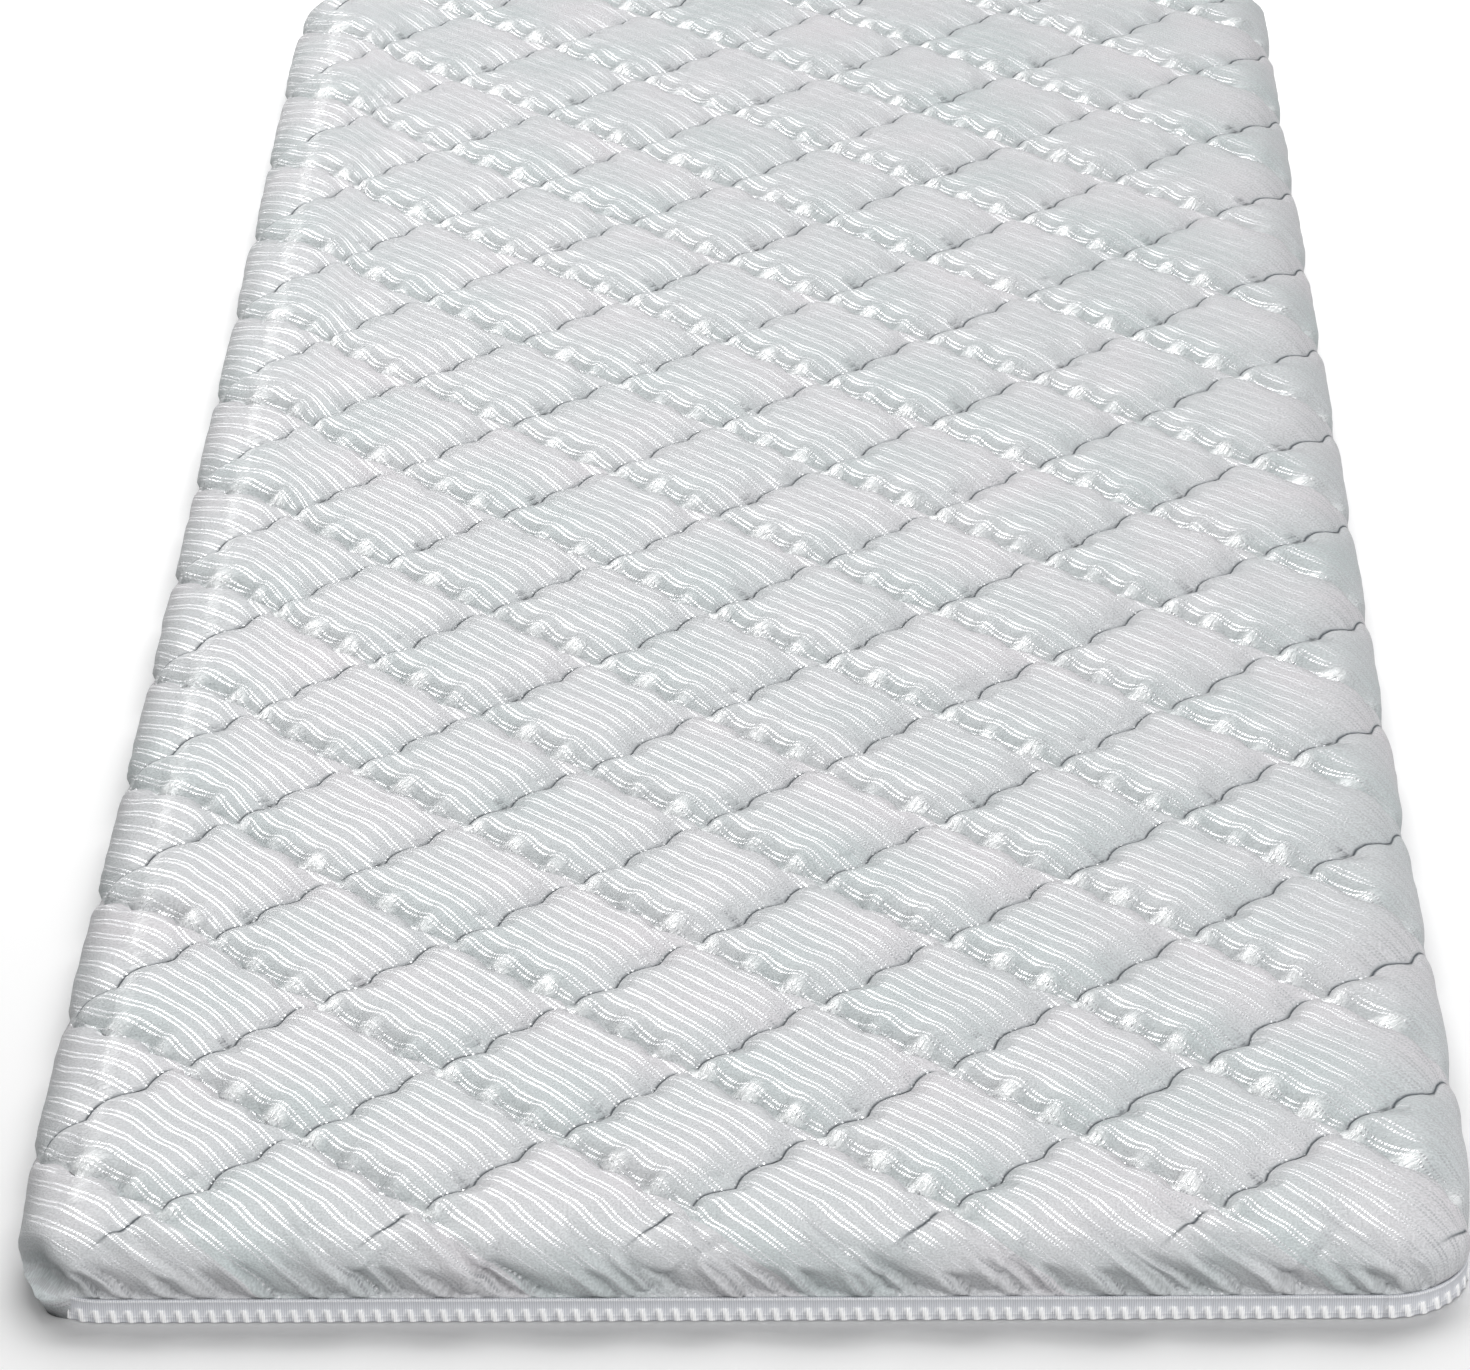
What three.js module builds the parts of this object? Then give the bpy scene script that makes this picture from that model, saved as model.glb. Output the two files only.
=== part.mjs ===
import * as THREE from 'three';

// Thin quilted foam mattress, lying flat with its foot end towards -Y.
// Millimetres, +Z up, origin on the floor under the middle of the mattress.

// Width and length at the foot. Towards the head the left side runs in by leftDrawIn,
// and the cover within drawInWidth of that side moves with it.
const mattress = { width: 820, length: 2010, cornerRadius: 50, leftDrawIn: 15, drawInWidth: 60 };

// The rolled edge: the top curves over to the furthest reach of the side, then the
// seam draws the cover in above the tape, and the side goes straight down to the floor.
// A fullness under 1 keeps the top high for longer, and the ends, which have no
// stitches, are filled a little higher than the stitch lines. The underside is flat.
const edge = {
  topHeight: 41,
  endFill: 7,
  reachHeight: 22,
  fullness: 0.7,
  seamInset: 3.5,
  seamHeight: 15.5,
  rimSteps: 3,
  undersideShare: 0.9,
};

// Diamonds of quilting: two families of stitch lines cross the corners of a square
// lattice. Columns and rows are counted in half diamonds from the first junction.
// The whole top is crowned a little, and its rows bow towards the head at both sides.
// Grid points less than stitchSlack apart in height lie on the same stitch line.
const quilt = {
  halfDiamond: 75,
  middleColumn: 4.463,
  footRow: -2.667,
  linesPerHalf: 4,
  pillowRise: 10,
  pillowPower: 3,
  stitchSlack: 1,
  crown: 2,
  crownPower: 8,
  rowBow: 13,
};

// Gathers of the cover where it is drawn down over the foot and head ends.
const gathers = { depth: 2.2, wavelengths: [83, 47], shares: [0.6, 0.4] };

// The hollow where the cover is tucked in above the tape at the front left corner.
const tuck = { x: -398, y: -989, reach: 30, depth: 7 };

const tape = { gap: 0.3, thickness: 1.8, bottom: 0.6, height: 14.3, arcSteps: 14, sideSteps: 16 };

const innerHalfWidth = mattress.width / 2 - mattress.cornerRadius;
const innerHalfLength = mattress.length / 2 - mattress.cornerRadius;
const quarterTurn = Math.PI / 2;
const rimDrop = edge.topHeight - edge.reachHeight;
const rimArc = quarterTurn * Math.sqrt((mattress.cornerRadius ** 2 + rimDrop ** 2) / 2);

// Lines of the surface grid across one direction. Between the rims they lie on whole
// fractions of the quilting lattice, so that a stitch line runs from corner to corner
// of the grid's cells. A rim line keeps the inner edge as its place and says how far
// round the rim it lies, from 0 at the top to 1 at the furthest reach.
function gridLines(innerHalf, latticeStart) {
  const spacing = quilt.halfDiamond / quilt.linesPerHalf;
  const lines = [];
  for (let step = edge.rimSteps; step > 0; step -= 1) {
    lines.push({ place: -innerHalf, round: -step / edge.rimSteps });
  }
  lines.push({ place: -innerHalf, round: 0 });
  const first = Math.ceil((-innerHalf + spacing / 2 - latticeStart) / spacing);
  for (let index = first; latticeStart + index * spacing < innerHalf - spacing / 2; index += 1) {
    lines.push({ place: latticeStart + index * spacing, round: 0 });
  }
  lines.push({ place: innerHalf, round: 0 });
  for (let step = 1; step <= edge.rimSteps; step += 1) {
    lines.push({ place: innerHalf, round: step / edge.rimSteps });
  }
  return lines;
}

// How far a place moves to the right, because the left side runs in towards the head.
function drawIn(x, y) {
  const fromFoot = THREE.MathUtils.clamp(0.5 + y / mattress.length, 0, 1);
  const innerEnd = -innerHalfWidth + mattress.drawInWidth;
  const share = THREE.MathUtils.smoothstep(-x, -innerEnd, innerHalfWidth);
  return mattress.leftDrawIn * (1 - (1 - fromFoot) ** 2) * share;
}

// Height of a diamond's pillow above its stitch lines, from 0 to 1.
function pillow(column, row) {
  const acrossA = Math.abs(2 * fraction((column + row) / 2) - 1);
  const acrossB = Math.abs(2 * fraction((column - row) / 2) - 1);
  return (1 - acrossA ** quilt.pillowPower) * (1 - acrossB ** quilt.pillowPower);
}

function fraction(value) {
  return value - Math.floor(value);
}

// Height of the gathers along an end, from -1 to 1.
function gatherWave(x) {
  return gathers.wavelengths.reduce(
    (sum, length, index) => sum + gathers.shares[index] * Math.sin((2 * Math.PI * x) / length + index),
    0,
  );
}

// One point of the cover: its place on the rolled edge, lifted along the surface's
// own direction by the quilting, the crown and the gathers.
function coverPoint(across, along) {
  const squareX = Math.abs(across.round);
  const squareY = Math.abs(along.round);
  const discX = squareX * Math.sqrt(1 - squareY ** 2 / 2);
  const discY = squareY * Math.sqrt(1 - squareX ** 2 / 2);
  const round = Math.hypot(discX, discY);
  const outward = new THREE.Vector2(
    round > 0 ? (Math.sign(across.round) * discX) / round : 0,
    round > 0 ? (Math.sign(along.round) * discY) / round : 0,
  );
  const turn = round * quarterTurn;
  const reach = mattress.cornerRadius * Math.sin(turn);

  const clothX = across.place + Math.sign(across.round) * discX * rimArc;
  const clothY = along.place + Math.sign(along.round) * discY * rimArc;
  const column = quilt.middleColumn + clothX / quilt.halfDiamond;
  const row = quilt.footRow + (mattress.length / 2 + clothY) / quilt.halfDiamond;

  const endShare = Math.min(1, squareY * edge.rimSteps);
  const quiltShare = Math.cos(turn) * (1 - endShare);
  const drop = (rimDrop + edge.endFill * endShare) * Math.max(0, Math.cos(turn)) ** edge.fullness;
  const domeX = 1 - (across.place / innerHalfWidth) ** 2;
  const domeY = 1 - (along.place / innerHalfLength) ** quilt.crownPower;
  const fromTuck = Math.hypot(
    across.place + outward.x * reach - tuck.x,
    along.place + outward.y * reach - tuck.y,
  );
  const tucked = tuck.depth * Math.exp(-((fromTuck / tuck.reach) ** 2)) * Math.sin(turn * 2);
  const lift =
    quilt.pillowRise * pillow(column, row) * quiltShare +
    quilt.crown * domeX * domeY +
    gathers.depth * gatherWave(clothX) * Math.sin(squareY * Math.PI) * (1 - squareX) -
    Math.max(0, tucked);

  const bow = quilt.rowBow * (across.place / innerHalfWidth) ** 2 * domeY;
  const x = across.place + outward.x * (reach + lift * Math.sin(turn));
  const y = along.place + outward.y * (reach + lift * Math.sin(turn)) + bow;
  return new THREE.Vector3(x + drawIn(x, y), y, edge.reachHeight + drop + lift * Math.cos(turn));
}

// The outline of the mattress drawn in by an inset, at one height, at the same places
// as the grid's outermost points.
function outlinePoint(across, along, inset, height) {
  const squareX = Math.abs(across.round);
  const squareY = Math.abs(along.round);
  const discX = squareX * Math.sqrt(1 - squareY ** 2 / 2);
  const discY = squareY * Math.sqrt(1 - squareX ** 2 / 2);
  const radius = mattress.cornerRadius - inset;
  const x = across.place + Math.sign(across.round) * discX * radius;
  const y = along.place + Math.sign(along.round) * discY * radius;
  return new THREE.Vector3(x + drawIn(x, y), y, height);
}

function filledPad() {
  const columns = gridLines(innerHalfWidth, -quilt.middleColumn * quilt.halfDiamond);
  const rows = gridLines(innerHalfLength, -mattress.length / 2 - quilt.footRow * quilt.halfDiamond);
  const points = [];
  const triangles = [];

  for (const along of rows) {
    for (const across of columns) {
      points.push(coverPoint(across, along));
    }
  }
  const at = (column, row) => row * columns.length + column;

  // Each cell is split along the stitch line that crosses it, or else along the
  // diagonal that leaves the pillow rounder.
  for (let row = 0; row + 1 < rows.length; row += 1) {
    for (let column = 0; column + 1 < columns.length; column += 1) {
      const [a, b] = [at(column, row), at(column + 1, row)];
      const [c, d] = [at(column + 1, row + 1), at(column, row + 1)];
      const rising = points[a].z + points[c].z;
      const falling = points[b].z + points[d].z;
      const lowest = Math.min(points[a].z, points[b].z, points[c].z, points[d].z);
      const risingStitch = rising - 2 * lowest < quilt.stitchSlack;
      const fallingStitch = falling - 2 * lowest < quilt.stitchSlack;
      if (risingStitch || (!fallingStitch && rising > falling)) {
        triangles.push(a, b, c, a, c, d);
      } else {
        triangles.push(a, b, d, b, c, d);
      }
    }
  }

  // Rings go round the grid's border, anticlockwise from above.
  const border = [];
  const lastColumn = columns.length - 1;
  const lastRow = rows.length - 1;
  for (let column = 0; column < lastColumn; column += 1) {
    border.push([column, 0]);
  }
  for (let row = 0; row < lastRow; row += 1) {
    border.push([lastColumn, row]);
  }
  for (let column = lastColumn; column > 0; column -= 1) {
    border.push([column, lastRow]);
  }
  for (let row = lastRow; row > 0; row -= 1) {
    border.push([0, row]);
  }

  let ring = border.map(([column, row]) => at(column, row));
  for (const height of [edge.seamHeight, 0]) {
    const below = border.map(([column, row]) => {
      points.push(outlinePoint(columns[column], rows[row], edge.seamInset, height));
      return points.length - 1;
    });
    for (let index = 0; index < ring.length; index += 1) {
      const next = (index + 1) % ring.length;
      triangles.push(ring[index], below[index], below[next]);
      triangles.push(ring[index], below[next], ring[next]);
    }
    ring = below;
  }

  // The flat underside: a rectangle, and triangles from its corners to the outline.
  const corners = [
    [-1, -1],
    [1, -1],
    [1, 1],
    [-1, 1],
  ].map(([signX, signY]) => {
    const x = signX * innerHalfWidth * edge.undersideShare;
    const y = signY * innerHalfLength * edge.undersideShare;
    points.push(new THREE.Vector3(x, y, 0));
    return points.length - 1;
  });
  const nearest = (point) => {
    const { x, y } = points[point];
    return y < 0 ? (x < 0 ? 0 : 1) : (x < 0 ? 3 : 2);
  };
  for (let index = 0; index < ring.length; index += 1) {
    const here = ring[index];
    const next = ring[(index + 1) % ring.length];
    const fromCorner = corners[nearest(here)];
    const toCorner = corners[nearest(next)];
    triangles.push(here, fromCorner, next);
    if (fromCorner !== toCorner) {
      triangles.push(fromCorner, toCorner, next);
    }
  }
  triangles.push(corners[0], corners[2], corners[1], corners[0], corners[3], corners[2]);

  const geometry = new THREE.BufferGeometry().setFromPoints(points);
  geometry.setIndex(triangles);
  return geometry;
}

// The mattress's outline drawn in by an inset, as points anticlockwise from the front
// left corner's end.
function outline(inset) {
  const radius = mattress.cornerRadius - inset;
  const corners = [
    { signX: 1, signY: -1, from: -quarterTurn },
    { signX: 1, signY: 1, from: 0 },
    { signX: -1, signY: 1, from: quarterTurn },
    { signX: -1, signY: -1, from: 2 * quarterTurn },
  ];
  const arcs = corners.map(({ signX, signY, from }) => {
    const points = [];
    for (let step = 0; step <= tape.arcSteps; step += 1) {
      const angle = from + (quarterTurn * step) / tape.arcSteps;
      const x = signX * innerHalfWidth + radius * Math.cos(angle);
      const y = signY * innerHalfLength + radius * Math.sin(angle);
      points.push(new THREE.Vector2(x, y));
    }
    return points;
  });
  const rightSide = alongSide(arcs[0].at(-1), arcs[1][0]);
  const leftSide = alongSide(arcs[2].at(-1), arcs[3][0]);
  const places = [...arcs[0], ...rightSide, ...arcs[1], ...arcs[2], ...leftSide, ...arcs[3]];
  return places.map(({ x, y }) => new THREE.Vector2(x + drawIn(x, y), y));
}

// Even steps along a long side between two corners.
function alongSide(start, end) {
  const points = [];
  for (let step = 1; step < tape.sideSteps; step += 1) {
    points.push(new THREE.Vector2().lerpVectors(start, end, step / tape.sideSteps));
  }
  return points;
}

// The ribbed tape stands against the side below the seam, all the way round.
function edgeTape() {
  const inner = edge.seamInset - tape.gap;
  const shape = new THREE.Shape(outline(inner - tape.thickness));
  shape.holes.push(new THREE.Path(outline(inner)));
  return new THREE.ExtrudeGeometry(shape, { depth: tape.height, bevelEnabled: false });
}

const damask = new THREE.MeshStandardMaterial({ color: 0xe4e7ea, roughness: 0.55, metalness: 0 });
const ribbedTape = new THREE.MeshStandardMaterial({ color: 0xdadde2, roughness: 0.7, metalness: 0 });

const pad = new THREE.Mesh(filledPad(), damask);
pad.name = 'quilted_pad';

const binding = new THREE.Mesh(edgeTape(), ribbedTape);
binding.name = 'edge_tape';
binding.position.z = tape.bottom;

const model = new THREE.Group();
model.add(pad, binding);

export default model;
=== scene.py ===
import bpy
import numpy as np
from mathutils import Matrix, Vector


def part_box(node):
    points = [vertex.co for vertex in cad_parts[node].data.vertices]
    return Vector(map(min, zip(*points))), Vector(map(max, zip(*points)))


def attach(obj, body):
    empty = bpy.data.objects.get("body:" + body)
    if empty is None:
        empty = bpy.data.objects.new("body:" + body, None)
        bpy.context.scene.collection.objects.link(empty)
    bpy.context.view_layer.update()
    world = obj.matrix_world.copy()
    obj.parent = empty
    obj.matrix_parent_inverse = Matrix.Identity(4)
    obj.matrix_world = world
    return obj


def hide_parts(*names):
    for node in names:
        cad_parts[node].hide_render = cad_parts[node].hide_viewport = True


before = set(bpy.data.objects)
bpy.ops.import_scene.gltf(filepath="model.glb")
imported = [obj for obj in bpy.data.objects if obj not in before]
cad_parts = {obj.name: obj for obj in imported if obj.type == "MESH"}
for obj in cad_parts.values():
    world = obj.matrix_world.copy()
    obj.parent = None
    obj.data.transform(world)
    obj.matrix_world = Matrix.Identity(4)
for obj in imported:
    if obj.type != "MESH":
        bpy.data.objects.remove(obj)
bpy.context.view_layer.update()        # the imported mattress: its bodies, nodes, joints and record
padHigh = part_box("quilted_pad")[1]
print("frame loaded")


# sRGB hex to linear: each channel over 255, then the sRGB curve undone.
def hexColour(code):
    channels = np.array([int(code[i:i + 2], 16) for i in (1, 3, 5)]) / 255
    linear = np.where(channels > 0.04045, ((channels + 0.055) / 1.055) ** 2.4, channels / 12.92)
    return (*linear.tolist(), 1.0)


# Adds one node. Settings go on the node; inputs are values or the sockets that feed it.
def addNode(tree, kind, inputs=None, **settings):
    node = tree.nodes.new(kind)
    for name, value in settings.items():
        setattr(node, name, value)
    for socket, value in (inputs or {}).items():
        if isinstance(value, bpy.types.NodeSocket):
            tree.links.new(value, node.inputs[socket])
        else:
            node.inputs[socket].default_value = value
    return node


# Scale of a wave texture for a pitch in millimetres: at scale 1 it repeats every 2 pi / 20 metres.
def waveScale(pitch):
    return 2 * np.pi / 20 / (pitch / 1000)


# 3t^2 - 2t^3 of the value's place between low and high, held at 0 and 1 outside.
def smoothStep(value, low, high):
    t = np.clip((value - low) / (high - low), 0, 1)
    return t * t * (3 - 2 * t)


# low + (high - low) share.
def between(low, high, share):
    return low + (high - low) * share


# Camera: in front of the foot end and looking down along the mattress.
view = {
    "place": (0.0636, -3.9087, 1.8869),    # metres
    "pitch": 27.095,          # degrees below the horizon
    "yaw": 1.243,             # degrees, anticlockwise from above
    "roll": -0.894,           # degrees about the line of sight
    "focalPixels": 6151.6,
    "imageWidth": 1470,
    "sensor": 36.0,           # millimetres across
    "clip": (0.1, 100),
}


# Turned by yaw, tilted by 90 degrees less the pitch, then rolled. The lens is focal pixels over
# image width times the sensor.
def makeCamera():
    data = bpy.data.cameras.new("camera")
    data.sensor_fit = "HORIZONTAL"
    data.sensor_width = view["sensor"]
    data.lens = view["focalPixels"] / view["imageWidth"] * view["sensor"]
    data.clip_start, data.clip_end = view["clip"]
    camera = bpy.data.objects.new("camera", data)
    bpy.context.scene.collection.objects.link(camera)
    turn = Matrix.Rotation(np.radians(view["yaw"]), 4, "Z")
    tilt = Matrix.Rotation(np.radians(90 - view["pitch"]), 4, "X")
    roll = Matrix.Rotation(np.radians(view["roll"]), 4, "Z")
    camera.matrix_world = Matrix.Translation(view["place"]) @ turn @ tilt @ roll
    bpy.context.scene.camera = camera
    print("camera:", round(data.lens), "mm lens")


makeCamera()

# The cover over its foam. Sizes in millimetres. A share of the rim goes from 0 where the flat top
# ends to 1 at the furthest reach of the side.
pad = {
    "halfWidth": padHigh[0] * 1000,
    "halfLength": padHigh[1] * 1000,
    "corner": 50,
    "topHeight": 41,          # of the stitch lines
    "reachHeight": 22,        # where the side reaches furthest
    "fullness": 0.7,          # power of the rim's cosine: 1 is round, less is squarer
    "rimDip": 2,              # how far the long sides lie inside that shape
    "endFill": 7,             # the ends, without stitches, are fuller
    "endStart": 0.4,          # share of the rim where an end is in full
    "seamInset": 3.5,
    "seamHeight": 15.5,
    "curl": 8,                # cloth from the furthest reach down to the seam
    "leftDrawIn": 15,         # how far the left side runs in towards the head
    "drawInWidth": 60,
    "crown": 2,               # how much higher the middle lies
    "crownPower": 8,          # of the length: it falls away only near the ends
    "bow": 13,                # how far the rows of diamonds turn back towards the head at the sides
    "leftSwell": 4,           # further out along the whole left side
    "swell": {"left": 2, "right": 4, "place": -790, "reach": 240},    # of the sides near the foot
    "swellFade": (865, 965),  # distances from the middle over which both swells die out
    "sideShade": 1.3,         # painted shade: how much darker the left side is than the top
    "sideShadeRim": (0.4, 0.7),
    "shoulderHighlight": 0.5,          # painted highlight: how much whiter the cloth is where it bends over the left side
    "shoulderRim": 0.22,
    "shoulderWidth": 0.1,
    "shades": (-3, 5),        # the lightest and the darkest the painted shade may be; below 0 it is painted light
    # at the front left corner a hollow that runs out along the tape, darkened by painted shade, a
    # fold below it that painted light makes lighter than the cloth, and the tape turned in under that,
    # with painted shade
    "tucks": [
        {"x": -401, "y": -986, "z": 24, "reach": 12, "depth": 10, "shade": 0.8},
        {"x": -388, "y": -996, "z": 24, "reach": 9, "depth": 6, "shade": 1.2},
        {"x": -376, "y": -1003, "z": 21, "reach": 8, "depth": 4, "shade": 1.8},
        {"x": -364, "y": -1005, "z": 18, "reach": 7, "depth": 3, "shade": 1.6},
    ],
    "tuckShadeStart": (16, 19),    # heights: no painted shade of a tuck falls on the seam
    "flap": {"x": -396, "y": -990, "z": 14, "reach": 20, "drop": 6, "out": 13, "shade": -3.5},
    "flapStart": 0.6,         # share of the curl where the fold is in full
    "turned": {"x": -402, "y": -976, "z": 4, "reach": 20, "depth": 9, "shade": 30},
}

# Quilting: diamonds on a square lattice, sewn in scallops that nearly meet where four diamonds
# do. Sizes in millimetres. A range is what a thing varies between from diamond to diamond.
quilt = {
    "half": 75,               # half a diamond
    "column": 4.463,          # lattice column at the middle of the width
    "row": -2.667,            # lattice row at the foot end
    # The scalloped lines that rise to the right, and those that fall. Lobe and first: a scallop's
    # length and where it begins, as shares of a diamond's side.
    "crease": {"start": -8.5, "end": -1.0, "depth": 11.0, "lobe": 0.355, "first": 0.0},
    "valley": {"start": -6.0, "end": -5.0, "depth": 9.5, "lobe": 0.34, "first": 0.24},
    "archPower": 0.4,         # rounds an arch off, and leaves a point between two
    "archBlunt": 0.01,        # takes the sharpness off that point
    "archFade": 0.4,          # how much lower the arches are at a line's far end
    "lineEnds": (0.07, 0.9),  # shares of a line between which its scallops are in full
    "rise": 7.8,
    "riseRange": (0.9, 1.1),
    "steepReach": 20,         # how far in the pillow rounds off, below a rising line
    "gentleReach": 38,        # above the next rising line
    "backReach": 10,          # at the falling line towards the head
    "frontReach": (40, 16),   # at the one towards the foot: in its hollows and on its ridges
    "frontRange": (0.7, 1.0),
    "ridgeRise": 1.6,
    "ridgePower": 4,          # how narrow a ridge is
    "ridgeRange": (0.35, 1.2),
    "ridgePlace": 8,          # how far in from the stitches a ridge is highest
    "ridgeWidth": 8,
    "ridgeStart": 4,          # it grows from nothing at the stitches over this length
    "ridgeSink": 0.3,         # how far the cloth beside it sinks, next to its rise
    "bunchReach": 17,         # how far in the cloth is bunched
    "bunchRange": (0.15, 1.0),    # in the hollows and on the ridges
    "hollowPlace": 5,         # how far in the painted shade of the hollows between the ridges is darkest
    "hollowWidth": 8,
    "neckWidth": 7,
    "neckLength": 12,
    "neckRise": 2.2,
    "sideRise": 0.5,          # share of the quilting's height that is left where the side is steep
    "lumps": 0.6,             # of the cloth over the foam
    "lumpSize": 26,
    "smallLumps": 0.5,        # next to the others
    "smallLumpPlaces": (2.3, 2.1),    # to one of the others, across and along
    "sewnFrom": (0.03, 0.08), # shares of a diamond's side past a junction: the crease starts there
    "sewnEnd": (0.25, 0.6),   # shares of the rim over which the creases fade: at the ends
    "sewnSide": (0.85, 1),    # and at the long sides
}

# The grid of the cover. Finer ones join it to the ends, where the folds are.
grid = {
    "cells": 15,              # to a half diamond
    "grading": 0.52,          # how much closer the lines stand at a stitch line
    "bendEnd": (0, 0.3),      # shares of the rim over which the lines grow straight: at the ends
    "bendSide": (0.8, 0.98),  # and at the long sides
    "pastTop": 3,             # millimetres that the main grid runs on past the flat top
    "joinLines": 12,
    "endCloth": 36,           # millimetres of cloth at each seam with the finest grid
    "endLines": 16,
}

diamondSide = quilt["half"] * np.sqrt(2)
innerWidth = pad["halfWidth"] - pad["corner"]
innerLength = pad["halfLength"] - pad["corner"]
rimDrop = pad["topHeight"] - pad["reachHeight"]
rimArc = np.pi / 2 * np.sqrt((pad["corner"] ** 2 + rimDrop ** 2) / 2)
curlShare = pad["curl"] / rimArc

# Tables of random numbers, and the ones that each kind of unevenness reads.
tableSize = 64
tables = np.random.default_rng(71).random((8, tableSize, tableSize))
tableOf = {"rise": 0, "front": 2, "ridge": 3, "lump": 5, "smallLump": 6}


# A random number from 0 to 1 for the diamond that each point lies in.
def perDiamond(kind, a, b):
    column, row = np.floor(a).astype(int) % tableSize, np.floor(b).astype(int) % tableSize
    return tables[tableOf[kind], column, row]


# Value noise from -1 to 1: random numbers at whole places, blended with smooth steps.
def smoothNoise(kind, x, y):
    i, j = np.floor(x).astype(int), np.floor(y).astype(int)
    s, t = smoothStep(x - i, 0, 1), smoothStep(y - j, 0, 1)
    table = tables[tableOf[kind]] * 2 - 1
    near, nearUp, far, farUp = (
        table[(i + m) % tableSize, (j + n) % tableSize] for m in (0, 1) for n in (0, 1))
    return (near * (1 - s) + far * s) * (1 - t) + (nearUp * (1 - s) + farUp * s) * t


# Where cloth distances lie on the pad: the inner place, how far round the rim the point is in each
# direction, its outward direction and how far it has curled under the reach. The corner's square of
# rim distances is drawn onto a quarter disc.
def rounded(p, q):
    placeX, placeY = np.clip(p, -innerWidth, innerWidth), np.clip(q, -innerLength, innerLength)
    squareX, squareY = np.abs(p - placeX) / rimArc, np.abs(q - placeY) / rimArc
    furthest = np.maximum(squareX, squareY)
    past = np.maximum(furthest, 1)
    curl = np.clip((furthest - 1) / curlShare, 0, 1)
    squareX, squareY = squareX / past, squareY / past
    discX = squareX * np.sqrt(1 - squareY ** 2 / 2) * np.sign(p)
    discY = squareY * np.sqrt(1 - squareX ** 2 / 2) * np.sign(q)
    return placeX, placeY, squareX, squareY, discX, discY, curl


# Cloth coordinates: the inner place and then the distance along the cloth round the rim.
def clothOf(p, q):
    placeX, placeY, _, _, discX, discY, curl = rounded(p, q)
    reach = rimArc + curl * pad["curl"]
    return placeX + discX * reach, placeY + discY * reach


# Diagonal lattice coordinates: whole numbers on the two families of stitch lines.
def latticeOf(clothX, clothY):
    u = quilt["column"] + clothX / quilt["half"]
    v = quilt["row"] + (pad["halfLength"] + clothY) / quilt["half"]
    return (u + v) / 2, (u - v) / 2


# Sideways offset of a stitch line, in half diamonds, at t from a side junction up to a top one:
# a slant from start to end with the arches of a sine on it, drawn in where the line ends.
def scallop(t, line):
    firstFull, lastFull = quilt["lineEnds"]
    lobes = np.sin(np.pi * (t - line["first"]) / line["lobe"]) ** 2
    arches = (lobes + quilt["archBlunt"]) ** quilt["archPower"]
    arches *= line["depth"] * (1 - quilt["archFade"] * t)
    offset = line["start"] + (line["end"] - line["start"]) * t + arches
    return offset / quilt["half"] * smoothStep(t, 0, firstFull) * (1 - smoothStep(t, lastFull, 1))


# How much of a stitch line's offset a grid line takes: all of it at the stitches and none halfway
# between two, (1 - 4 step^2)^3 with the step in diamonds.
def follow(lattice):
    return (1 - 4 * (lattice - np.round(lattice)) ** 2) ** 3


# Moves the grid over the cloth: closer together at the stitch lines, whose grid lines then follow
# the scallops. Gives the moved grid and its straight lattice coordinates.
def bendGrid(p, q):
    a, b = latticeOf(*clothOf(p, q))
    _, _, squareX, squareY, _, _, _ = rounded(p, q)
    share = (1 - smoothStep(squareY, *grid["bendEnd"])) * (1 - smoothStep(squareX, *grid["bendSide"]))
    a1 = a - share * grid["grading"] * np.sin(2 * np.pi * a) / (2 * np.pi)
    b1 = b - share * grid["grading"] * np.sin(2 * np.pi * b) / (2 * np.pi)
    a2 = a1 + share * scallop(np.ceil(b1) - b1, quilt["valley"]) * follow(a1) / np.sqrt(2)
    b2 = b1 - share * scallop(a1 - np.floor(a1), quilt["crease"]) * follow(b1) / np.sqrt(2)
    moveX = ((a2 - a) + (b2 - b)) * quilt["half"]
    moveY = ((a2 - a) - (b2 - b)) * quilt["half"]
    return p + moveX, q + moveY, a1, b1


# Rise of a pillow beside a stitch line: 1 - (1 - distance / reach)^2, and 1 past the reach.
def wall(distance, reach):
    return 1 - (1 - np.clip(distance / reach, 0, 1)) ** 2


# A soft bump of height 1: exp(-((distance - place) / width)^2).
def bump(distance, place, width):
    return np.exp(-((distance - place) / width) ** 2)
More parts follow.
